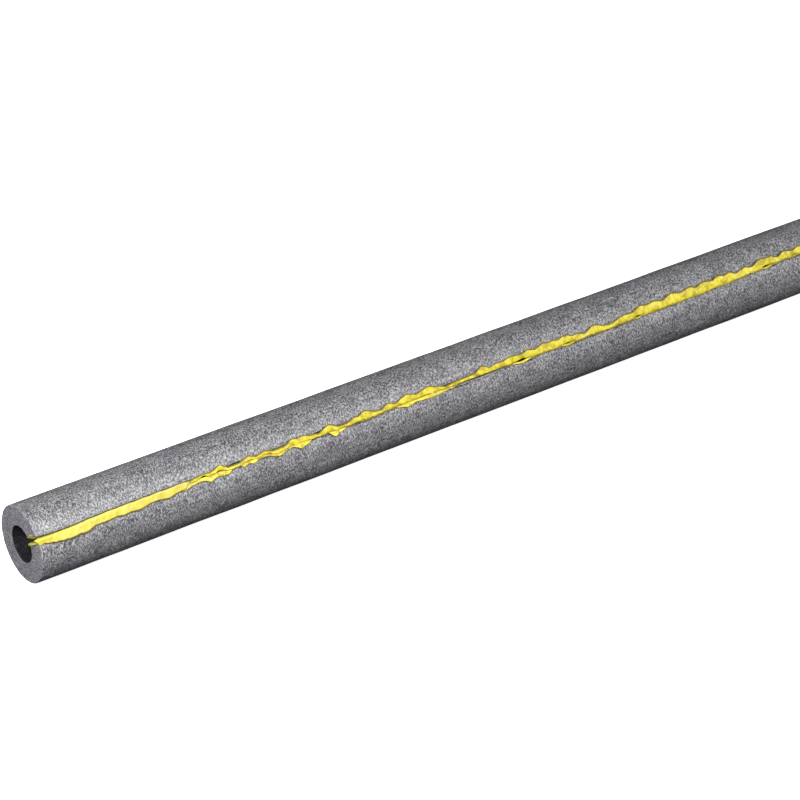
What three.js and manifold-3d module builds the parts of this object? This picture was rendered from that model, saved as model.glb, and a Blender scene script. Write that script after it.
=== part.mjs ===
// Self-sealing pipe lagging: a grey foam sleeve, slit along one side, with a yellow release liner on each
// face of the slit. The free edges of the liners stand out of the slit and are ruffled.
// Millimetres, +Z up. The sleeve lies along X on the plane Z = 0, its near end at -X.
import * as THREE from "three";
import { mergeVertices } from "three/addons/utils/BufferGeometryUtils.js";
import Module from "manifold-3d";

// The foam sleeve
const LENGTH = 914; // a 3 foot length
const BORE_DIAMETER = 22.2; // slips over a 7/8 inch tube
const WALL = 12.7; // half an inch of foam
const SIDES = 32; // flats round the sleeve, a multiple of 4 so that one lies on the floor

// The slit, whose angle is counted up from the horizontal on the -Y side
const SLIT_ANGLE = 37; // degrees, from the near end to where the twist starts
const SLIT_TWIST = 8; // degrees gained over the twist
const TWIST_START = 380; // from the near end
const TWIST_LENGTH = 300;
const SLIT_STEP = 20; // spacing of the cutter's sections

// The release liners
const LINER_THICKNESS = 0.15;
const LINER_SEAT_GAP = 0.3; // between a liner and the foam face that it covers
const LINER_PARTING = 0.7; // between the two liners inside the slit
const STANDING_HEIGHT = 3.4; // how far a free edge that stands upright is above the foam
const LYING_HEIGHT = 1.5; // the same for a free edge that leans right over
const FULL_LEAN = 6.5; // sideways reach of an edge that leans right over
const FLAT_HEIGHT = 0.95; // of the upper liner where it is folded flat over the lower one
const TUCKED_HEIGHT = 0.4; // of the lower liner where it is folded flat under the upper one
const BEND_RISE = 1.3; // how far a liner rises out of the slit before it bends over
const FLAT_BEND_RISE = 0.5; // the same where the lower liner lies flat
const FLAP_STEPS = 3; // straight pieces along a free edge's bend

// Each entry is a place on a liner's free edge: the distance from the near end, then the sideways reach
// from the middle of the slit, positive up the sleeve. Here the upper liner is folded flat, downwards.
const UPPER_FOLDED = [
  [0, -4.2], [10, -5.4], [20, -7.3], [32, -7.0], [38, -4.9], [55, -4.9],
  [65, -5.4], [77, -4.2], [87, -4.9], [94, -3.6], [98, -2.4], [103, -0.8],
];
const LOWER_FOLDED = [[0, -3.4], [94, -3.2], [98, -3.1]];
const FOLD_END = 98; // where the folded flat stretch stops

// The crests of the ruffles that follow, each at its distance from the near end and with its reach.
const UPPER_CRESTS = [
  [116, 1.4], [127, 2.7], [145, 2.0], [157, 1.8], [176, 2.7], [186, 2.0], [202, 3.0], [221, 2.1],
  [229, 3.1], [246, 2.4], [259, 3.9], [276, 3.8], [300, 1.1], [318, 4.5], [341, 4.1], [354, 3.9],
  [365, 4.6], [374, 4.2], [383, 4.2], [394, 3.4], [407, 4.6], [433, 3.5], [445, 5.4], [457, 5.2],
  [472, 5.8], [486, 5.2], [498, 5.0], [511, 5.2], [522, 4.4], [535, 4.0], [549, 5.4], [558, 4.0],
  [572, 4.2],
];
const LOWER_CRESTS = [
  [115, -4.3], [128, -3.5], [140, -3.2], [163, -4.0], [178, -4.4], [203, -4.9], [257, -3.4],
  [280, -2.7], [345, -2.6], [382, -2.3], [422, -1.8], [460, -1.6], [510, -2.2], [550, -2.0],
];
const UPPER_VALLEY = 1.2; // reach between two crests
const LOWER_VALLEY = -1.4;

// Beyond the listed crests the ruffles repeat, with a gentle change from one to the next.
const UPPER_PITCH = 13;
const UPPER_REACH = 4.4;
const LOWER_PITCH = 38;
const LOWER_REACH = -2.1;
const RUFFLE_CHANGE = 0.22; // share by which pitch and reach vary
const CHANGE_PHASE = 2.4; // radians from one ruffle to the next
const CREST_ROOM = 5; // least distance between two crests, and between a crest and the far end

const wasm = await Module();
wasm.setup();

const outerRadius = BORE_DIAMETER / 2 + WALL;
const boreRadius = BORE_DIAMETER / 2;
const axisHeight = outerRadius;
const nearEnd = -LENGTH / 2;
const slitWidth = 2 * (LINER_SEAT_GAP + LINER_THICKNESS) + LINER_PARTING;
const linerOffset = (LINER_PARTING + LINER_THICKNESS) / 2; // of a liner's middle from the slit's middle

// The slit's angle, in radians, at a distance from the near end.
function slitAngle(distance) {
  const share = THREE.MathUtils.smoothstep(distance, TWIST_START, TWIST_START + TWIST_LENGTH);
  return THREE.MathUtils.degToRad(SLIT_ANGLE + SLIT_TWIST * share);
}

// A point given by its distance from the near end, its radius along the slit and its offset across it.
function pointAt(distance, along, across) {
  const angle = slitAngle(distance);
  return new THREE.Vector3(
    nearEnd + distance,
    -along * Math.cos(angle) + across * Math.sin(angle),
    axisHeight + along * Math.sin(angle) + across * Math.cos(angle),
  );
}

// A closed mesh through sections that each go once round a strip: the first half of a section is one face
// of the strip and the second half the other face, walked back. Both faces are split the same way, so that
// a thin strip keeps its thickness where it twists.
function loft(sections) {
  const round = sections[0].length;
  const positions = sections.flat().flatMap((p) => [p.x, p.y, p.z]);
  const index = [];
  const quad = (a, b, c, d) => index.push(a, b, c, a, c, d);
  for (let s = 0; s + 1 < sections.length; s++)
    for (let i = 0; i < round; i++) {
      const here = s * round;
      const next = here + round;
      const j = (i + 1) % round;
      if (i < round / 2) quad(here + i, next + i, next + j, here + j);
      else quad(next + i, next + j, here + j, here + i);
    }
  const last = (sections.length - 1) * round;
  for (let i = 0; i + 1 < round / 2; i++) {
    const back = round - 1 - i;
    quad(i, i + 1, back - 1, back);
    quad(last + i, last + back, last + back - 1, last + i + 1);
  }
  const geometry = new THREE.BufferGeometry();
  geometry.setAttribute("position", new THREE.Float32BufferAttribute(positions, 3));
  geometry.setIndex(index);
  return geometry;
}

// A closed geometry as a solid that can be joined and cut.
function solid(geometry) {
  const bare = geometry.clone();
  bare.deleteAttribute("normal");
  bare.deleteAttribute("uv");
  const merged = mergeVertices(bare, 1e-3);
  return new wasm.Manifold(
    new wasm.Mesh({
      numProp: 3,
      vertProperties: new Float32Array(merged.attributes.position.array),
      triVerts: new Uint32Array(merged.index.array),
    }),
  );
}

function geometryOf(made) {
  const mesh = made.getMesh();
  const geometry = new THREE.BufferGeometry();
  geometry.setAttribute("position", new THREE.BufferAttribute(mesh.vertProperties, 3));
  geometry.setIndex(new THREE.BufferAttribute(mesh.triVerts, 1));
  geometry.computeVertexNormals();
  return geometry;
}

// A round tube along X with flats: the bore and the outside are measured across the flats.
function tube() {
  const corner = 1 / Math.cos(Math.PI / SIDES);
  const inner = boreRadius * corner;
  const outer = outerRadius * corner;
  const profile = [
    [inner, -LENGTH / 2], [outer, -LENGTH / 2], [outer, LENGTH / 2], [inner, LENGTH / 2], [inner, -LENGTH / 2],
  ].map(([r, y]) => new THREE.Vector2(r, y));
  return new THREE.LatheGeometry(profile, SIDES, Math.PI / SIDES)
    .rotateZ(-Math.PI / 2)
    .translate(0, 0, axisHeight);
}

// The blade that opens the slit: a flat bar from inside the bore to outside the sleeve, twisted with it.
function slitCutter() {
  const overrun = 2;
  const steps = Math.max(2, Math.round(LENGTH / SLIT_STEP));
  const inside = boreRadius / 2;
  const outside = outerRadius + overrun;
  const half = slitWidth / 2;
  const sections = [];
  for (let i = 0; i <= steps; i++) {
    const distance = -overrun + ((LENGTH + 2 * overrun) * i) / steps;
    sections.push([
      pointAt(distance, inside, -half),
      pointAt(distance, outside, -half),
      pointAt(distance, outside, half),
      pointAt(distance, inside, half),
    ]);
  }
  return loft(sections);
}

function foamSleeve() {
  return geometryOf(solid(tube()).subtract(solid(slitCutter())));
}

// The listed crests, then the repeating ones as far as the far end.
function allCrests(listed, pitch, reach) {
  const crests = listed.filter(([distance]) => distance < LENGTH - CREST_ROOM);
  if (crests.length < listed.length) return crests;
  let distance = listed[listed.length - 1][0];
  for (let n = 0; ; n++) {
    distance += Math.max(CREST_ROOM, pitch * (1 + RUFFLE_CHANGE * Math.sin(CHANGE_PHASE * n)));
    if (distance > LENGTH - CREST_ROOM) return crests;
    crests.push([distance, reach * (1 + RUFFLE_CHANGE * Math.cos(CHANGE_PHASE * n))]);
  }
}

// A free edge from end to end: the folded stretch, then crests with a valley between each two.
function freeEdge(folded, crests, valley) {
  const edge = folded.filter(([distance]) => distance < LENGTH);
  for (const [distance, reach] of crests) {
    const before = edge[edge.length - 1][0];
    edge.push([(before + distance) / 2, valley], [distance, reach]);
  }
  edge.push([LENGTH, valley]);
  return edge;
}

// The value of a list of [distance, value] at a distance, straight from entry to entry.
function valueAt(list, distance) {
  const next = list.findIndex(([d]) => d >= distance);
  if (next <= 0) return next === 0 ? list[0][1] : list[list.length - 1][1];
  const [d0, v0] = list[next - 1];
  const [d1, v1] = list[next];
  return v0 + ((v1 - v0) * (distance - d0)) / (d1 - d0);
}

const upperEdge = freeEdge(UPPER_FOLDED, allCrests(UPPER_CRESTS, UPPER_PITCH, UPPER_REACH), UPPER_VALLEY);
const lowerEdge = freeEdge(LOWER_FOLDED, allCrests(LOWER_CRESTS, LOWER_PITCH, LOWER_REACH), LOWER_VALLEY);

// Both liners have their sections at the same places, so that they keep clear of each other.
function stations() {
  const closest = 1.5;
  const all = [...upperEdge, ...lowerEdge].map(([distance]) => distance).sort((a, b) => a - b);
  const kept = all.filter((d, i) => i === 0 || d - all[i - 1] >= closest);
  kept[kept.length - 1] = LENGTH;
  return kept;
}

// The middle line of a liner's section, as [radius along the slit, offset across it]: up the slit's face,
// out of the slit and over to its free edge.
function linerLine(side, distance) {
  const reach = valueAt(side > 0 ? upperEdge : lowerEdge, distance);
  const lean = Math.min(1, Math.abs(reach) / FULL_LEAN);
  const flat = distance <= FOLD_END;
  const flatHeight = side > 0 ? FLAT_HEIGHT : TUCKED_HEIGHT;
  const height = flat ? flatHeight : THREE.MathUtils.lerp(STANDING_HEIGHT, LYING_HEIGHT, lean);
  const rise = flat && side < 0 ? FLAT_BEND_RISE : BEND_RISE;
  const lip = new THREE.Vector2(outerRadius, side * linerOffset);
  const bend = new THREE.Vector2(outerRadius + rise, side * linerOffset);
  const edge = new THREE.Vector2(Math.sqrt(outerRadius ** 2 - reach ** 2) + height, reach);
  const flap = new THREE.QuadraticBezierCurve(lip, bend, edge).getPoints(FLAP_STEPS);
  return [new THREE.Vector2(boreRadius, side * linerOffset), ...flap];
}

// A line's section with the liner's thickness, as one closed walk.
function thicken(line) {
  const offsetSide = (sign) =>
    line.map((p, i) => {
      const before = line[Math.max(0, i - 1)];
      const after = line[Math.min(line.length - 1, i + 1)];
      const normal = new THREE.Vector2(before.y - after.y, after.x - before.x).normalize();
      return p.clone().addScaledVector(normal, (sign * LINER_THICKNESS) / 2);
    });
  return [...offsetSide(-1), ...offsetSide(1).reverse()];
}

function releaseLiner(side) {
  const sections = stations().map((distance) =>
    thicken(linerLine(side, distance)).map((p) => pointAt(distance, p.x, p.y)),
  );
  const geometry = loft(sections);
  geometry.computeVertexNormals();
  return geometry;
}

const foam = new THREE.MeshStandardMaterial({ color: 0x85858a, roughness: 0.9, metalness: 0 });
const film = new THREE.MeshStandardMaterial({ color: 0xf2e23c, roughness: 0.4, metalness: 0 });

function named(name, geometry, material) {
  const mesh = new THREE.Mesh(geometry, material);
  mesh.name = name;
  return mesh;
}

const lagging = new THREE.Group();
lagging.add(named("foam_sleeve", foamSleeve(), foam));
lagging.add(named("upper_release_liner", releaseLiner(1), film));
lagging.add(named("lower_release_liner", releaseLiner(-1), film));

export default lagging;
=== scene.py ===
# The looks of a length of self-sealing pipe lagging: a grey foam sleeve lying on a pale floor, with the
# yellow release liners of its slit standing out in ruffles.
import math
import random

import bmesh
import bpy
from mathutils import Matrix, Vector, noise


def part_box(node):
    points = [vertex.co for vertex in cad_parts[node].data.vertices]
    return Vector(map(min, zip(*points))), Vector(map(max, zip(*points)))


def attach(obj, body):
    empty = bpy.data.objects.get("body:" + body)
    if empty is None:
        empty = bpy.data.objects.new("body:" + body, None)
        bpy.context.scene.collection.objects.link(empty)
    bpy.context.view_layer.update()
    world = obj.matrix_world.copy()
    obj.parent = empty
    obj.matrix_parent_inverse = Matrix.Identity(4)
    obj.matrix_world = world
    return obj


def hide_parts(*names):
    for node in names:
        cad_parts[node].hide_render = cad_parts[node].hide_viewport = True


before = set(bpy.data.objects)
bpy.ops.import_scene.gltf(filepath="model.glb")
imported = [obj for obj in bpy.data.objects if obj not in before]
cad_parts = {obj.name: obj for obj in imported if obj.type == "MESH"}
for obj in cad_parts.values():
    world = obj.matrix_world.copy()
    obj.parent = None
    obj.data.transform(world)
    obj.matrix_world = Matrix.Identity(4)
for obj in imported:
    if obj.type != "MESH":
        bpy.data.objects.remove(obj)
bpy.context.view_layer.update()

MM = 0.001

# Sizes are in millimetres. The sleeve's length and outside come from the frame, and its wall is the
# stock size.
LENGTH = (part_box("foam_sleeve")[1].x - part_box("foam_sleeve")[0].x) / MM
OUTER_RADIUS = (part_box("foam_sleeve")[1].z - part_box("foam_sleeve")[0].z) / MM / 2
WALL = 12.7
BORE_RADIUS = OUTER_RADIUS - WALL

# The slit runs at this angle above the horizontal on the -Y side and drifts up past the middle.
SLIT_ANGLE = 37
SLIT_TWIST = 8
TWIST_START = 380
TWIST_LENGTH = 300
SLIT_HALF_WIDTH = 0.8
SLIT_FLARE = 1.5  # extra half width at a cut end, where the foam has relaxed
FLARE_LENGTH = 7  # over which the flare dies away
# Where the slit gapes below the film, as (distance from the near end, extra half width, length). In the
# pockets the liners go with its faces.
GAPES = [(135, 0.5, 4), (194, 0.5, 6), (316, 0.8, 24)]
POCKETS = [(346, 1.0, 6), (383, 0.6, 5), (440, 0.7, 3), (551, 0.7, 4), (576, 0.4, 3)]
# How far up the sleeve the slit's mouth has moved near the end, as (distance, millimetres). The folded
# film pulls it down.
SLIT_DRIFT = [(0, -1.6), (5, -1.4), (12, -1.2), (22, -1.0), (34, -0.4), (50, 0)]
SLIT_TURN = 0.6  # how far up the slit's edge in the bore has moved at the near end

# The liners
FILM_THICKNESS = 0.09
FILM_OFFSET = 0.43  # of each liner from the slit's middle
LINER_FLARE = 0.8  # the share of the slit's flare that the liners follow
LIP_DEPTH = 0.4  # below the foam's outside, where the slit's lips start to round over


def hex_linear(code):
    """A colour written as sRGB hex, turned to linear."""
    parts = [int(code[i:i + 2], 16) / 255 for i in (1, 3, 5)]
    return [c / 12.92 if c <= 0.04045 else ((c + 0.055) / 1.055) ** 2.4 for c in parts] + [1]


def smooth(share):
    share = min(1, max(0, share))
    return share * share * (3 - 2 * share)


def value_at(points, distance):
    """The value of a list of (distance, value) pairs at a distance, straight from pair to pair."""
    if distance <= points[0][0]:
        return points[0][1]
    for (d0, v0), (d1, v1) in zip(points, points[1:]):
        if distance <= d1:
            return v0 + (v1 - v0) * (distance - d0) / (d1 - d0)
    return points[-1][1]


def slit_angle(distance):
    """The slit's angle in radians at a distance in millimetres from the near end."""
    share = smooth((distance - TWIST_START) / TWIST_LENGTH)
    return math.radians(SLIT_ANGLE + SLIT_TWIST * share)


def slit_drift(distance, depth):
    """How far the slit has moved up the sleeve. depth is 0 at its mouth and 1 in the bore."""
    turned = SLIT_TURN * math.exp(-max(0, distance) / FLARE_LENGTH)
    return value_at(SLIT_DRIFT, distance) * (1 - depth) + turned * depth


def end_flare(to_end):
    """The slit's extra half width at a distance from the nearer cut end."""
    return SLIT_FLARE * math.exp(-max(0, to_end) / FLARE_LENGTH)


def opening(gapes, distance):
    """The extra half width that a list of gapes gives at a distance."""
    return max(extra * math.exp(-((distance - at) / length) ** 2) for at, extra, length in gapes)


def slit_half_width(distance):
    flare = end_flare(min(distance, LENGTH - distance))
    return SLIT_HALF_WIDTH + flare + opening(GAPES + POCKETS, distance)


def at_angle(distance, radius, angle):
    """A place on the sleeve in metres, by its distance along, its radius and its angle."""
    return Vector((
        distance - LENGTH / 2,
        -radius * math.cos(angle),
        OUTER_RADIUS + radius * math.sin(angle),
    )) * MM


def at_slit(distance, height, across):
    """A place by the slit in metres: height is above the foam's outside and across is up the sleeve."""
    angle = slit_angle(distance)
    radius = OUTER_RADIUS + height
    return Vector((
        distance - LENGTH / 2,
        -radius * math.cos(angle) + across * math.sin(angle),
        OUTER_RADIUS + radius * math.sin(angle) + across * math.cos(angle),
    )) * MM


# Camera: the photograph's view, from the left and above, through a long lens
CAMERA_AZIMUTH = -35.92
CAMERA_ELEVATION = 30.71
CAMERA_DISTANCE = 1776
CAMERA_LENS = 129.6
SENSOR_WIDTH = 36
FAR_CLIP = 100  # metres
AIM_DISTANCE = 266.6  # along the sleeve from its near end
AIM_HEIGHT = 3.0  # above the sleeve's middle line


def make_camera():
    data = bpy.data.cameras.new("camera")
    data.lens = CAMERA_LENS
    data.sensor_width = SENSOR_WIDTH
    data.clip_end = FAR_CLIP
    camera = bpy.data.objects.new("camera", data)
    bpy.context.scene.collection.objects.link(camera)
    azimuth = math.radians(CAMERA_AZIMUTH)
    elevation = math.radians(CAMERA_ELEVATION)
    aim = Vector((AIM_DISTANCE - LENGTH / 2, 0, OUTER_RADIUS + AIM_HEIGHT))
    back = Vector((
        math.sin(azimuth) * math.cos(elevation),
        -math.cos(azimuth) * math.cos(elevation),
        math.sin(elevation),
    ))
    camera.location = (aim + back * CAMERA_DISTANCE) * MM
    camera.rotation_euler = (-back).to_track_quat("-Z", "Y").to_euler()
    bpy.context.scene.camera = camera


make_camera()


# Nodes and meshes
def add(tree, kind, sockets=(), links=(), **settings):
    """Adds a node. sockets are (input, value) pairs and links are (output socket, input) pairs."""
    node = tree.nodes.new(kind)
    for name, value in settings.items():
        setattr(node, name, value)
    for name, value in sockets:
        node.inputs[name].default_value = value
    for source, name in links:
        tree.links.new(source, node.inputs[name])
    return node


def set_stops(ramp, stops):
    """Gives a colour ramp its (position, sRGB hex) stops."""
    elements = ramp.color_ramp.elements
    for index, (position, code) in enumerate(stops):
        element = elements[index] if index < 2 else elements.new(position)
        element.position = position
        element.color = hex_linear(code)


def new_material(name):
    material = bpy.data.materials.new(name)
    material.use_nodes = True
    material.node_tree.nodes.clear()
    return material


def finished(name, bm, materials, body="root"):
    """The bmesh as a smooth-shaded object of its own, riding on the body."""
    mesh = bpy.data.meshes.new(name)
    bm.to_mesh(mesh)
    bm.free()
    for material in materials:
        mesh.materials.append(material)
    piece = bpy.data.objects.new(name, mesh)
    bpy.context.scene.collection.objects.link(piece)
    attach(piece, body)
    return piece


POLYETHYLENE_IOR = 1.51
MIX_FIRST, MIX_SECOND, MIX_RESULT = 6, 7, 2  # where a Mix node has its colours

# The foam's finish
GRAIN = 1.4  # millimetres from pebble to pebble of the extruded skin
CUT_CELL = 0.8  # millimetres across a cell on a cut face
GRAIN_STRETCH = 2  # the skin's pebbles are this much narrower along the sleeve than round it
PATCH_GRAINS = 6  # pebbles across a lighter or darker patch
PATCH_WEIGHT = 0.14  # of the patches against the pebbles
FOAM_STOPS = (0.44, 0.565, 0.71)  # where the pits, the body and the bright cell walls lie
TINT_GRAINS = 3  # pebbles across a patch of tint
TINT_SHARE = 0.1

# The film's finish, with its painted light and shade
FACET_SHADE_PATCH_SIZE = 5  # millimetres across a patch of painted light and shade
CRINKLE_SIZE = 3  # millimetres from crinkle to crinkle
CRINKLE_DEPTH = 0.3
RIM_START, RIM_FULL = 0.15, 0.6  # where the rim's painted shade begins and where it is complete
FILM_ROUGHNESS = 0.45
RIM_ROUGHNESS = 0.8


def foam_nodes(tree, grain, stretch, colours, bump_depth, roughness, specular):
    """Pebbled closed-cell foam: pits, body colour and bright cell walls over one speckle pattern."""
    place = add(tree, "ShaderNodeTexCoord").outputs["Object"]
    narrowed = add(tree, "ShaderNodeMapping", [("Scale", (stretch, 1, 1))], [(place, "Vector")])
    where = narrowed.outputs["Vector"]
    per_metre = 1 / (grain * MM)
    speckle = add(
        tree, "ShaderNodeTexNoise",
        [("Scale", per_metre), ("Detail", 2.5), ("Roughness", 0.6)], [(where, "Vector")],
    )
    patches = add(
        tree, "ShaderNodeTexNoise",
        [("Scale", per_metre / PATCH_GRAINS), ("Detail", 2.0), ("Roughness", 0.5)],
        [(place, "Vector")],
    )
    tint = add(
        tree, "ShaderNodeTexNoise",
        [("Scale", per_metre / TINT_GRAINS), ("Detail", 1.0)], [(place, "Vector")],
    )
    mottled = add(
        tree, "ShaderNodeMath", [(1, PATCH_WEIGHT)],
        [(patches.outputs["Fac"], 0), (speckle.outputs["Fac"], 2)], operation="MULTIPLY_ADD",
    )
    ramp = add(tree, "ShaderNodeValToRGB", links=[(mottled.outputs[0], "Fac")])
    set_stops(ramp, zip(FOAM_STOPS, colours))
    tinted = add(
        tree, "ShaderNodeMix", [("Factor", TINT_SHARE)],
        [(ramp.outputs["Color"], MIX_FIRST), (tint.outputs["Color"], MIX_SECOND)],
        data_type="RGBA", blend_type="OVERLAY",
    )
    bump = add(
        tree, "ShaderNodeBump", [("Strength", 1.0), ("Distance", bump_depth * MM)],
        [(speckle.outputs["Fac"], "Height")],
    )
    shader = add(
        tree, "ShaderNodeBsdfPrincipled",
        [("Roughness", roughness), ("IOR", POLYETHYLENE_IOR), ("Specular IOR Level", specular)],
        [(tinted.outputs[MIX_RESULT], "Base Color"), (bump.outputs["Normal"], "Normal")],
    )
    add(tree, "ShaderNodeOutputMaterial", links=[(shader.outputs["BSDF"], "Surface")])


def polyethylene_foam_skin():
    """Polyethylene foam as it leaves the die: a waxy skin of flat pebbles that glints in places."""
    material = new_material("polyethylene_foam_extruded_skin")
    colours = ("#2d2d32", "#69696d", "#aaa9a9")
    foam_nodes(
        material.node_tree, GRAIN, GRAIN_STRETCH, colours,
        bump_depth=0.22, roughness=0.53, specular=1,
    )
    return material


def polyethylene_foam_cut():
    """Polyethylene foam where the knife cut it: fine open cells, matt and even."""
    material = new_material("polyethylene_foam_knife_cut")
    colours = ("#4a4a50", "#7e7e83", "#aaaab0")
    foam_nodes(
        material.node_tree, CUT_CELL, 1, colours,
        bump_depth=0.2, roughness=0.75, specular=0.5,
    )
    return material


def polyethylene_foam_bore():
    """The skin inside the bore, smoother than the outside, and made much darker with painted shade that
    stands in for the shade deep in the bore.
    """
    material = new_material("polyethylene_foam_bore_painted_shade")
    # Painted shade: near-black colours stand in for the shade inside the bore.
    colours = ("#09090d", "#19181d", "#34323a")
    foam_nodes(
        material.node_tree, GRAIN, GRAIN_STRETCH, colours,
        bump_depth=0.25, roughness=0.75, specular=0.25,
    )
    return material


def polyethylene_release_film():
    """Siliconised polyethylene film, dyed through: thin, satin and crinkled."""
    material = new_material("polyethylene_release_film")
    tree = material.node_tree
    place = add(tree, "ShaderNodeTexCoord").outputs["Object"]
    # Painted light and shade: lighter and darker patches in the base colour stand in for the shading of
    # the film's crinkled facets, and crumple sets how much of them shows over the plain colour.
    facet_shade_noise = add(
        tree, "ShaderNodeTexNoise",
        [("Scale", 1 / (FACET_SHADE_PATCH_SIZE * MM)), ("Detail", 2.0), ("Distortion", 0.6)], [(place, "Vector")],
    )
    painted_facet_shade = add(tree, "ShaderNodeValToRGB", links=[(facet_shade_noise.outputs["Fac"], "Fac")])
    set_stops(painted_facet_shade, ((0.34, "#b09c1c"), (0.58, "#ddd038")))
    crumple = add(tree, "ShaderNodeAttribute", attribute_name="crumple").outputs["Fac"]
    body = add(
        tree, "ShaderNodeMix", [(MIX_FIRST, hex_linear("#b9af35"))],
        [(crumple, "Factor"), (painted_facet_shade.outputs["Color"], MIX_SECOND)], data_type="RGBA",
    )
    # Painted shade: a dark olive band along each free edge stands in for the contact shadows beside the
    # film and the shade in its valleys, and is made rougher too.
    painted_shade_rim = add(tree, "ShaderNodeAttribute", attribute_name="painted_shade_rim").outputs["Fac"]
    painted_rim_shade_share = add(
        tree, "ShaderNodeMapRange",
        [("From Min", RIM_START), ("From Max", RIM_FULL)], [(painted_shade_rim, "Value")],
    )
    coloured = add(
        tree, "ShaderNodeMix", [(MIX_SECOND, hex_linear("#6e5f14"))],
        [(painted_rim_shade_share.outputs["Result"], "Factor"), (body.outputs[MIX_RESULT], MIX_FIRST)],
        data_type="RGBA",
    )
    roughened = add(
        tree, "ShaderNodeMapRange",
        [
            ("From Min", RIM_START), ("From Max", RIM_FULL),
            ("To Min", FILM_ROUGHNESS), ("To Max", RIM_ROUGHNESS),
        ],
        [(painted_shade_rim, "Value")],
    )
    crinkle = add(
        tree, "ShaderNodeTexNoise",
        [("Scale", 1 / (CRINKLE_SIZE * MM)), ("Detail", 2.0)], [(place, "Vector")],
    )
    bump = add(
        tree, "ShaderNodeBump", [("Strength", 1.0), ("Distance", CRINKLE_DEPTH * MM)],
        [(crinkle.outputs["Fac"], "Height")],
    )
    shader = add(
        tree, "ShaderNodeBsdfPrincipled",
        [("IOR", POLYETHYLENE_IOR), ("Specular IOR Level", 0.7)],
        [
            (coloured.outputs[MIX_RESULT], "Base Color"),
            (roughened.outputs["Result"], "Roughness"),
            (bump.outputs["Normal"], "Normal"),
        ],
    )
    add(tree, "ShaderNodeOutputMaterial", links=[(shader.outputs["BSDF"], "Surface")])
    return material


# The foam sleeve
ROUND_FACES = 128
WALL_FACES = 8
LENGTH_FACES = 200
EDGE_SOFTNESS = 1.1  # radius that the foam's cut edges take
EDGE_STEPS = 4
SHARP_ANGLE = 1  # in radians, between two faces that meet at a cut edge
FACE_SLOPE = 0.6  # a face of the flat slab whose normal rises less than this is a cut one
SWELL = 0.16  # uneven thickness left by the die, either way
SWELL_LENGTH = 28
SKIN, CUT, BORE = 0, 1, 2


def bend_round(distance, turn, radius):
    """A place of the flat slab, bent round the bore. turn is -1 at one slit face and 1 at the other."""
    half_gap = math.asin(slit_half_width(distance) / radius)
    drift = slit_drift(distance, (OUTER_RADIUS - radius) / WALL)
    middle = slit_angle(distance) + drift / radius
    angle = middle + math.pi + turn * (math.pi - half_gap)
    place = at_angle(distance, radius, angle) / MM
    uneven = SWELL * noise.noise(place / SWELL_LENGTH)
    lifted = at_angle(distance, radius + uneven, angle)
    lifted.z = max(lifted.z, 0)
    return lifted


def foam_slab(bm):
    """The sleeve as a flat slab: X along it, Y from slit face to slit face and Z through the wall."""
    half_round = math.pi * (OUTER_RADIUS + BORE_RADIUS) / 2
    made = bmesh.ops.create_grid(bm, x_segments=ROUND_FACES, y_segments=WALL_FACES, size=1)
    for v in made["verts"]:
        v.co = Vector((0, v.co.x * half_round, WALL * (v.co.y + 1) / 2))
    pulled = bmesh.ops.extrude_face_region(bm, geom=bm.faces[:], use_keep_orig=True)
    moved = [v for v in pulled["geom"] if isinstance(v, bmesh.types.BMVert)]
    bmesh.ops.translate(bm, verts=moved, vec=(LENGTH, 0, 0))
    lengthways = [e for e in bm.edges if abs(e.verts[0].co.x - e.verts[1].co.x) > LENGTH / 2]
    bmesh.ops.subdivide_edges(bm, edges=lengthways, cuts=LENGTH_FACES - 1, use_grid_fill=True)
    bmesh.ops.recalc_face_normals(bm, faces=bm.faces[:])
    sharp = [e for e in bm.edges if len(e.link_faces) == 2 and e.calc_face_angle() > SHARP_ANGLE]
    bmesh.ops.bevel(
        bm, geom=sharp, offset=EDGE_SOFTNESS, offset_type="OFFSET", segments=EDGE_STEPS,
        profile=0.5, affect="EDGES", clamp_overlap=True, material=-1,
    )
    return half_round


def foam_sleeve():
    bm = bmesh.new()
    half_round = foam_slab(bm)
    for f in bm.faces:
        f.smooth = True
        if abs(f.normal.z) < FACE_SLOPE:
            f.material_index = CUT
        elif f.normal.z < 0:
            f.material_index = BORE
        else:
            f.material_index = SKIN
    for v in bm.verts:
        v.co = bend_round(v.co.x, v.co.y / half_round, BORE_RADIUS + v.co.z)
    bmesh.ops.recalc_face_normals(bm, faces=bm.faces[:])
    finishes = [polyethylene_foam_skin(), polyethylene_foam_cut(), polyethylene_foam_bore()]
    sleeve = finished("extruded_foam_sleeve", bm, finishes)
    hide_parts("foam_sleeve")
    return sleeve


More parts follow.
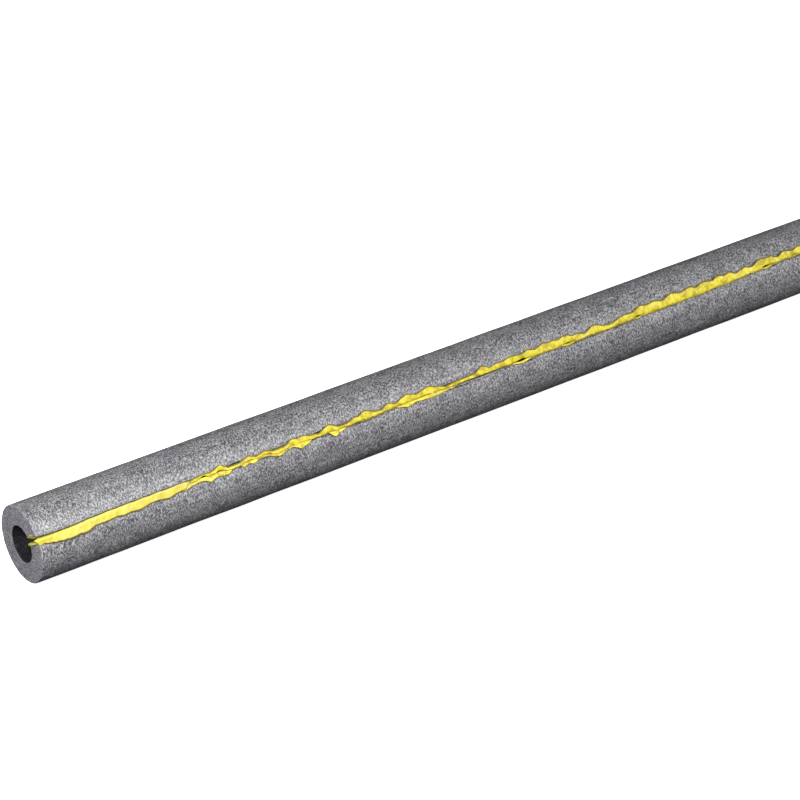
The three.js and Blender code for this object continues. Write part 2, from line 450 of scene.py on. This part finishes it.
# The liners' free edges, as (distance from the near end, reach across the slit), the reach positive up
# the sleeve. The upper liner starts folded flat, down over the slit, and then stands up in ruffles.
UPPER_EDGE = [
    (-2, -5.4), (3, -4.4), (10, -5.9), (19, -7.2), (25, -6.7), (31, -7.0), (36, -5.0), (45, -5.1),
    (51, -4.5), (55, -5.4), (60, -4.9), (66, -5.6), (74, -4.2), (79, -4.0), (86, -5.2), (93, -3.7),
    (98, -3.8), (101, -1.4), (104, 0.6), (106, 0.8), (109, 1.2), (116, 1.0), (119, 1.4),
    (123, 2.9), (129, -0.1), (135, -0.2), (139, 1.0), (143, 2.0), (148, 0.5), (154, 1.7),
    (161, -0.1), (166, -0.4), (170, 0.8), (174, 2.7), (177, 1.7), (181, 2.2), (188, 0.8),
    (193, 0.3), (200, 3.1), (208, 0.0), (213, 0.1), (219, 1.8), (222, 1.4), (227, 3.6), (234, 0.9),
    (239, 0.5), (244, 2.7), (249, 1.0), (258, 4.0), (265, 1.8), (274, 4.0), (281, 1.9), (288, 0.2),
    (295, 1.0), (310, 1.3), (316, 4.5), (321, 1.7), (327, 2.6), (331, 2.3), (339, 3.7), (346, 2.3),
    (352, 4.0), (357, 2.5), (364, 4.5), (368, 3.6), (372, 4.2), (376, 3.0), (380, 4.2), (384, 3.7),
    (388, 2.3), (391, 2.7), (397, 1.1), (405, 4.2), (412, 1.6), (418, 0.9), (430, 3.1), (436, 2.4),
    (444, 5.1), (450, 4.2), (456, 4.9), (462, 2.8), (470, 5.8), (478, 3.6), (486, 4.9), (491, 2.9),
    (497, 4.9), (505, 3.1), (510, 5.1), (516, 3.6), (520, 4.5), (525, 1.9), (534, 3.7), (539, 1.9),
    (548, 5.2), (553, 3.9), (557, 4.2), (562, 1.7), (569, 4.4), (575, 2.1), (582, 3.8),
]
# The fold's line along the slit, with a small peak wherever the film has creased
FOLD_LINE = [
    (0, -0.9), (12, -0.9), (30, -0.3), (34, 0.2), (37, 0.0), (48, 0.5), (51, 0.2), (60, 0.7),
    (63, 0.3), (70, 0.7), (74, 0.4), (81, 0.9), (84, 0.4), (96, 0.9),
]
# How low across the slit the upper liner swings before it rises to its edge, once it stands
UPPER_LOW = [
    (100, -0.6), (105, -0.9), (109, -0.2), (111, 0.9), (113, -0.6), (117, -0.8), (121, 0.3),
    (126, -1.0), (130, -1.5), (137, -1.2), (140, -0.6), (143, -0.2), (148, -1.0), (152, -0.8),
    (154, 0.0), (157, -0.9), (160, -1.8), (164, -2.2), (168, -1.6), (172, -1.1), (176, -1.2),
    (180, -0.9), (188, -1.3), (196, -1.5), (199, -0.9), (204, -1.4), (210, -1.3), (215, -1.5),
    (220, -0.9), (226, -1.5), (231, -1.3), (236, -1.2), (241, -0.8), (245, -0.9), (248, -0.8),
    (252, -0.8), (256, -0.8), (264, -0.7), (269, -0.6), (276, -0.8), (284, -0.6), (290, -0.9),
    (296, -0.9), (300, -0.6), (310, -0.6), (320, -0.8), (328, -0.6), (335, -0.8), (340, -0.7),
    (346, 0.0), (351, -0.7), (356, -1.1), (366, -0.9), (372, -1.0), (377, -0.9), (383, -0.4),
    (388, -0.9), (392, -1.3), (398, -1.0), (405, -1.2), (415, -1.3), (425, -1.1), (433, -1.2),
    (437, -0.7), (440, 0.0), (443, -0.7), (447, -1.2), (457, -1.4), (465, -1.3), (475, -1.6),
    (485, -1.4), (495, -1.7), (505, -1.4), (515, -1.8), (525, -1.5), (534, -1.4), (545, -1.5),
    (548, -0.6), (551, -0.2), (555, -0.6), (558, -0.9), (567, -0.8), (572, -1.0), (576, -0.6),
    (580, -0.8),
]
# The lower liner lies under the folded stretch and then leans down in lobes. Where its reach is a mere
# half millimetre, it only shows as a shaded line below the upper liner's bend, with real shade from the
# bend and painted shade on its rim.
LOWER_EDGE = [
    (-2, -4.0), (9, -3.2), (90, -3.0), (97, -4.2), (102, -2.8), (107, -2.2), (112, -2.6),
    (114, -4.7), (119, -2.8), (127, -3.7), (130, -2.2), (133, -0.9), (136, -1.0), (138, -3.2),
    (142, -2.0), (146, -3.0), (149, -1.6), (155, -1.6), (163, -4.3), (168, -2.4), (173, -2.0),
    (176, -2.8), (178, -4.6), (183, -3.2), (188, -1.5), (192, -0.5), (199, -1.4), (203, -5.2),
    (207, -3.4), (213, -1.9), (217, -0.5), (247, -0.5), (251, -2.0), (257, -3.4), (264, -2.2),
    (269, -2.6), (276, -3.1), (284, -2.6), (289, -1.9), (292, -2.4), (297, -0.9), (300, -0.5),
    (336, -0.5), (339, -1.6), (346, -2.7), (352, -1.8), (356, -0.5), (375, -0.5), (378, -1.6),
    (383, -2.4), (388, -1.7), (391, -0.5), (436, -0.5), (438, -1.5), (440, -2.0), (442, -1.6),
    (444, -0.5), (545, -0.5), (548, -1.7), (551, -2.4), (555, -1.8), (558, -0.5), (573, -0.5),
    (576, -2.0), (579, -0.5),
]
FOLD_END = 100  # where the folded stretch stops
STAND_BEFORE, STAND_LENGTH = 3, 6  # how far before that the film starts to stand, and over what length
CRUMPLE_LENGTH = 8  # after that, over which the film gets crumpled
LEAST_CRUMPLE = 0.25  # on the folded stretch
# A liner's ends, as (place, how far it sticks out, how far it curls away from the slit). The place is -1
# at the bore, 0 at the slit's lip and 1 at the free edge.
UPPER_END = [
    (-1, 0.2, 0.4), (-0.75, 0.2, 1.2), (-0.35, 0.8, 2.2), (-0.1, 0.5, 0.5), (0.05, -0.6, 0),
    (0.2, 0.8, 0), (0.35, 2.8, 0), (1, -0.3, 0),
]
LOWER_END = [(-1, 0.9, 1.0), (-0.6, 1.4, 1.1), (-0.4, 1.0, 0.6), (-0.1, 0, 0), (0.25, 0, 0), (1, -2, 0)]
END_REACH = 8  # from a cut end to where the liners lie straight
CREASE_LENGTH = 5.5  # along the film, from crease to crease
CREASE_SLANT = 0.9  # how far a crease leans from the lip to the edge, in crease lengths
CREASE_CHANGE = 0.8  # how much the creases change from the lip to the edge
CREASE_APART = 7  # sets the two liners' creases apart
COARSE_CREASE, FINE_CREASE = 1.3, 0.6  # depths of the creases and of the finer ones among them
FINER = 2.1  # times as many of those
CREASE_DEPTH = 1.3
CREASE_CLEAR = 0.15  # the most of a crease that may go towards the other liner
WAVER = 0.3  # how far the film strays to either side
WAVER_LENGTH = 2.3  # along the film, from one way to the other
WAVER_CHANGE = 1.2  # from the lip to the edge
WAVER_APART = 9  # sets the two liners' wavers apart
LEAST_LIFT = 0.2  # of the lower liner above the foam
LIFT_START = 0.4  # the place from which it is kept up
LEAST_REACH = 0.6  # of the upper liner where it stands, so that its rim hides its lip
LIP_WRAP = 0.5  # that the upper liner laps over its lip before it swings down
RIM = 0.4  # how far each film's rim, darkened with painted shade, reaches past its edge as listed
RIM_FADE = 1.0  # how far in from the free edge the rim fades, times a share that changes along the film
FOLDED_RIM = 0.5  # that share on the folded stretch
LEAN = 0.8  # by which a crest leans along the sleeve
SOFTNESS = 0.9  # either way along an edge, over which its corners are rounded
LOW_SOFTNESS = 1.2  # the same along UPPER_LOW
TUCK = 0.9  # how far the lower liner shows below the upper one's bend
LEAST_SHOWING = 0.7  # of the lower liner, below the slit's middle
LOBE_START, LOBE_LENGTH = 1.2, 1.2  # the reach at which it starts to lean down, and how much more it takes
FILM_STEP = 0.6  # spacing of the film's sections
SLIT_ROWS = 6  # rows of faces across the film inside the slit
FREE_ROWS = 16  # and outside it
# The ruffles past the photograph's edge, with the least and most of each random share
RUFFLE_SEED = 7
HALF_RUFFLE = (0.4, 0.65)  # from a crest to a valley, in pitches
VALLEY_SHARE = (0.6, 1.3)
CREST_SHARE = (0.8, 1.2)


def carried_on(edge, pitch, crest, valley):
    """A listed edge carried on to the far end by uneven ruffles of its own kind."""
    made = random.Random(RUFFLE_SEED)
    points = list(edge)
    distance = points[-1][0]
    while distance < LENGTH:
        for reach, share in ((valley, VALLEY_SHARE), (crest, CREST_SHARE)):
            distance += pitch * made.uniform(*HALF_RUFFLE)
            points.append((distance, reach * made.uniform(*share)))
    return points


def eased(points, distance):
    """value_at with its crests and valleys half levelled, as film bends."""
    straight = value_at(points, distance)
    for (d0, v0), (d1, v1) in zip(points, points[1:]):
        if d0 < distance <= d1:
            level = v0 + (v1 - v0) * smooth((distance - d0) / (d1 - d0))
            return (straight + level) / 2
    return straight


def softened(points, distance, softness=SOFTNESS):
    """eased with its corners rounded a little more."""
    near = [eased(points, distance + k * softness) for k in (-1, -0.5, 0, 0.5, 1)]
    return sum(near) / len(near)


def crumpled(distance):
    """How crumpled the film is: only a little along the folded stretch."""
    return LEAST_CRUMPLE + (1 - LEAST_CRUMPLE) * smooth((distance - FOLD_END) / CRUMPLE_LENGTH)


def standing(distance):
    """How far the film has gone from lying folded to standing, from 0 to 1."""
    return smooth((distance - FOLD_END + STAND_BEFORE) / STAND_LENGTH)


def liner_offset(distance, side, depth):
    """Where a liner runs across the slit, on its own side. depth is 0 at the mouth and 1 in the bore."""
    flare = end_flare(min(distance, LENGTH - distance))
    from_middle = FILM_OFFSET + LINER_FLARE * flare + opening(POCKETS, distance)
    return side * from_middle + slit_drift(distance, depth)


def upper_height(reach):
    """How high the upper liner's edge stands: crests lean out and valleys bend in."""
    lowest, rise, tallest = 1.5, 0.42, 3
    return lowest + rise * min(tallest, abs(reach))


def lower_height(reach):
    """How high the lower liner's edge lies above the foam."""
    lowest, rise = 0.25, 0.17
    return lowest + rise * abs(reach)


def creases(distance, place, side):
    """Sharp diagonal creases, as a height of at most 0.5, with ridges between smooth dips."""
    where = Vector((
        distance / CREASE_LENGTH + CREASE_SLANT * place,
        CREASE_CHANGE * place,
        CREASE_APART * side,
    ))
    coarse = abs(noise.noise(where))
    fine = abs(noise.noise(where * FINER))
    return 0.5 - COARSE_CREASE * coarse - FINE_CREASE * fine


def waver(distance, place, side):
    """How far the film strays across the slit, more towards its edge."""
    where = Vector((distance / WAVER_LENGTH, place * WAVER_CHANGE, WAVER_APART * side))
    return WAVER * place * noise.noise(where)


def bent(points, share):
    """A place on the smooth bend that leaves the first point and ends at the last."""
    while len(points) > 1:
        points = [mixed(p, q, share) for p, q in zip(points, points[1:])]
    return points[0]


def mixed(first, second, share):
    return [a + (b - a) * share for a, b in zip(first, second)]


def mixed_shapes(first, second, share):
    return [mixed(p, q, share) for p, q in zip(first, second)]


def swing_for(low, reach):
    """Where the middle of the upper liner's bend has to pull, for its lowest point to come to low."""
    lip_pull, edge_share, middle_share = 0.25, 0.06, 0.63
    return (low - lip_pull - edge_share * reach) / middle_share


def upper_shape(distance, edge, lowest):
    """The upper liner's bend outside the slit, as (height, across) from its lip to its free edge."""
    stands = standing(distance)
    upright = max(LEAST_REACH, softened(edge, distance + LEAN) + RIM)
    lying = value_at(edge, distance)
    reach = lying + (upright - lying) * stands
    swing = swing_for(softened(lowest, distance, LOW_SOFTNESS), reach)
    fold_line = softened(FOLD_LINE, distance)
    flat = [(1.1, fold_line + 0.2), (1.3, fold_line), (0.9, fold_line - 1.2), (0.45, reach)]
    up = [(0.7, FILM_OFFSET + LIP_WRAP), (1.4, swing), (1.7, swing), (upper_height(reach), reach)]
    return mixed_shapes(flat, up, stands)


def lower_shape(distance, edge, lowest):
    """The lower liner's bend outside the slit, as (height, across) from its lip to its free edge."""
    lobe = softened(edge, distance) - RIM
    below = softened(lowest, distance, LOW_SOFTNESS) - TUCK + opening(GAPES, distance) / 3
    reach = min(lobe, below, -LEAST_SHOWING)
    lip = liner_offset(distance, -1, 0)
    flat = [(0.2, lip), (0.4, lip - 0.4), (0.4, lip - 1.2), (0.25, lobe)]
    tucked = [(-0.1, lip), (0.3, lip), (0.3, 0.5 * (reach + lip)), (0.3, reach)]
    down = [(-0.1, lip), (0.3, lip - 0.3), (0.3, lip - 1.0), (lower_height(reach), reach)]
    shape = mixed_shapes(tucked, down, smooth((-reach - LOBE_START) / LOBE_LENGTH))
    return mixed_shapes(flat, shape, standing(distance))


def free_width(bend):
    """How wide the film is outside the slit, near enough."""
    return sum(math.dist(p, q) for p, q in zip(bend, bend[1:]))


def ruffled_rim(reach):
    """The share of RIM_FADE where the film is ruffled: more painted shade in the valleys than on the
    crests.
    """
    least, most, loss = 0.2, 1.5, 0.4
    return max(least, most - loss * abs(reach))


def rim_fade(distance, reach):
    """How far in from a free edge the film is darkened with painted shade."""
    return RIM_FADE * (FOLDED_RIM + (ruffled_rim(reach) - FOLDED_RIM) * crumpled(distance))


def end_shape(shape, place, to_end):
    """Where a liner's place near an end comes to lie, as (inside the cut, away from the slit)."""
    most_out = value_at([(at, out) for at, out, _ in shape], place)
    folded = value_at([(at, curl) for at, _, curl in shape], place)
    if to_end >= END_REACH:
        return to_end, 0
    out = most_out * (1 - to_end / END_REACH) ** 2
    inside = max(0, to_end - folded) * END_REACH / (END_REACH - folded)
    return inside - out, max(0, folded - to_end)


def creased_place(laid, place, side, bend):
    """A place on the free film, as (height, across): on its bend, and off it by creases and a waver."""
    height, across = bent(bend, place)
    depth = CREASE_DEPTH * min(1, 2 * place) * crumpled(laid)
    crease = creases(laid, place, side)
    height += depth * (max(crease, -CREASE_CLEAR) if side > 0 else min(crease, CREASE_CLEAR))
    if side < 0 and place > LIFT_START:
        height = max(height, LEAST_LIFT)
    return height, across + waver(laid, place, side)


def place_of(row):
    """The place across the film of a row of its faces: -1 at the bore, 0 at the lip, 1 at the edge."""
    return row / SLIT_ROWS - 1 if row < SLIT_ROWS else (row - SLIT_ROWS) / FREE_ROWS


def liner(name, node, side, shape, ends):
    """A strip of film: flat first, with X along the slit and Y across the strip, then set in place."""
    rows = SLIT_ROWS + FREE_ROWS
    bm = bmesh.new()
    painted_shade_rim_layer = bm.verts.layers.float.new("painted_shade_rim")
    crumple_layer = bm.verts.layers.float.new("crumple")
    flat = bmesh.ops.create_grid(bm, x_segments=round(LENGTH / FILM_STEP), y_segments=rows, size=1)
    for v in flat["verts"]:
        laid = (v.co.x + 1) / 2 * LENGTH
        place = place_of((v.co.y + 1) / 2 * rows)
        v[crumple_layer] = crumpled(laid)
        inside, curl = end_shape(ends, place, min(laid, LENGTH - laid))
        distance = inside if laid < LENGTH / 2 else LENGTH - inside
        offset = liner_offset(laid, side, max(0, -place))
        height, across = place * (WALL - LIP_DEPTH) - LIP_DEPTH, offset
        if place > 0:
            bend = [(-LIP_DEPTH, offset)] + shape(laid)
            height, across = creased_place(laid, place, side, bend)
            reach = bend[-1][1]
            # Painted shade along the free edge: full at the edge, fading inwards.
            v[painted_shade_rim_layer] = max(0, 1 - (1 - place) * free_width(bend) / rim_fade(laid, reach))
        v.co = at_slit(distance, height, across + side * curl)
    for f in bm.faces:
        f.smooth = True
    bmesh.ops.recalc_face_normals(bm, faces=bm.faces[:])
    film = finished(name, bm, [release_film])
    thick = film.modifiers.new("film_thickness", "SOLIDIFY")
    thick.thickness = FILM_THICKNESS * MM
    thick.offset = 0
    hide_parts(node)
    return film


release_film = polyethylene_release_film()
foam_sleeve()
upper_edge = carried_on(UPPER_EDGE, pitch=12, crest=4.6, valley=2.4)
upper_low = carried_on(UPPER_LOW, pitch=16, crest=-1.5, valley=-1.0)
lower_edge = carried_on(LOWER_EDGE, pitch=60, crest=-1.4, valley=-0.5)
liner(
    "upper_liner_film", "upper_release_liner", 1,
    lambda d: upper_shape(d, upper_edge, upper_low), UPPER_END,
)
liner(
    "lower_liner_film", "lower_release_liner", -1,
    lambda d: lower_shape(d, lower_edge, upper_low), LOWER_END,
)


# Floor and light
FLOOR_SIZE = 30  # metres
FLOOR_GLOW = 0.92
FILL_STRENGTH = 0.035  # of the room's light from all round


def pale_floor():
    """A seamless white floor that doesn't light the sleeve from below."""
    bm = bmesh.new()
    bmesh.ops.create_grid(bm, x_segments=1, y_segments=1, size=FLOOR_SIZE / 2)
    mesh = bpy.data.meshes.new("floor")
    bm.to_mesh(mesh)
    bm.free()
    material = new_material("white_paper")
    tree = material.node_tree
    paper = add(tree, "ShaderNodeBsdfDiffuse", [("Color", hex_linear("#fbfbfb"))])
    glow = add(tree, "ShaderNodeEmission", [("Strength", FLOOR_GLOW)])
    both = add(
        tree, "ShaderNodeAddShader", links=[(paper.outputs[0], 0), (glow.outputs[0], 1)],
    )
    add(tree, "ShaderNodeOutputMaterial", links=[(both.outputs[0], "Surface")])
    mesh.materials.append(material)
    floor = bpy.data.objects.new("floor", mesh)
    bpy.context.scene.collection.objects.link(floor)
    floor.visible_diffuse = False
    floor.visible_glossy = False


def soft_light(name, distance, angle, along, size, power, toward):
    """A square softbox. Its angle is up from the -Y side round the sleeve. along is its place along the
    sleeve and toward the place it shines at, both from the near end."""
    data = bpy.data.lights.new(name, "AREA")
    data.shape = "SQUARE"
    data.size = size * MM
    data.energy = power
    light = bpy.data.objects.new(name, data)
    bpy.context.scene.collection.objects.link(light)
    turn = math.radians(angle)
    place = Vector((
        along - LENGTH / 2, -distance * math.cos(turn), OUTER_RADIUS + distance * math.sin(turn),
    ))
    target = Vector((toward - LENGTH / 2, 0, OUTER_RADIUS))
    light.location = place * MM
    light.rotation_euler = (target - place).to_track_quat("-Z", "Y").to_euler()


def studio():
    soft_light("near_light", distance=562, angle=55, along=-411, size=260, power=6.8, toward=60)
    soft_light("key", distance=2050, angle=43.5, along=600, size=400, power=41, toward=250)
    soft_light("back_light", distance=1600, angle=171, along=-200, size=400, power=5, toward=457)
    soft_light("far_light", distance=900, angle=25, along=2100, size=300, power=4, toward=800)
    world = bpy.data.worlds.new("studio")
    world.use_nodes = True
    tree = world.node_tree
    tree.nodes.clear()
    seen = add(tree, "ShaderNodeLightPath").outputs["Is Camera Ray"]
    dim = add(
        tree, "ShaderNodeBackground",
        [("Color", hex_linear("#e8e6ff")), ("Strength", FILL_STRENGTH)],
    )
    pale = add(tree, "ShaderNodeBackground", [("Color", (1, 1, 1, 1)), ("Strength", 1.0)])
    mix = add(
        tree, "ShaderNodeMixShader", links=[(seen, 0), (dim.outputs[0], 1), (pale.outputs[0], 2)],
    )
    add(tree, "ShaderNodeOutputWorld", links=[(mix.outputs[0], "Surface")])
    bpy.context.scene.world = world
    bpy.context.scene.view_settings.view_transform = "Standard"


pale_floor()
studio()
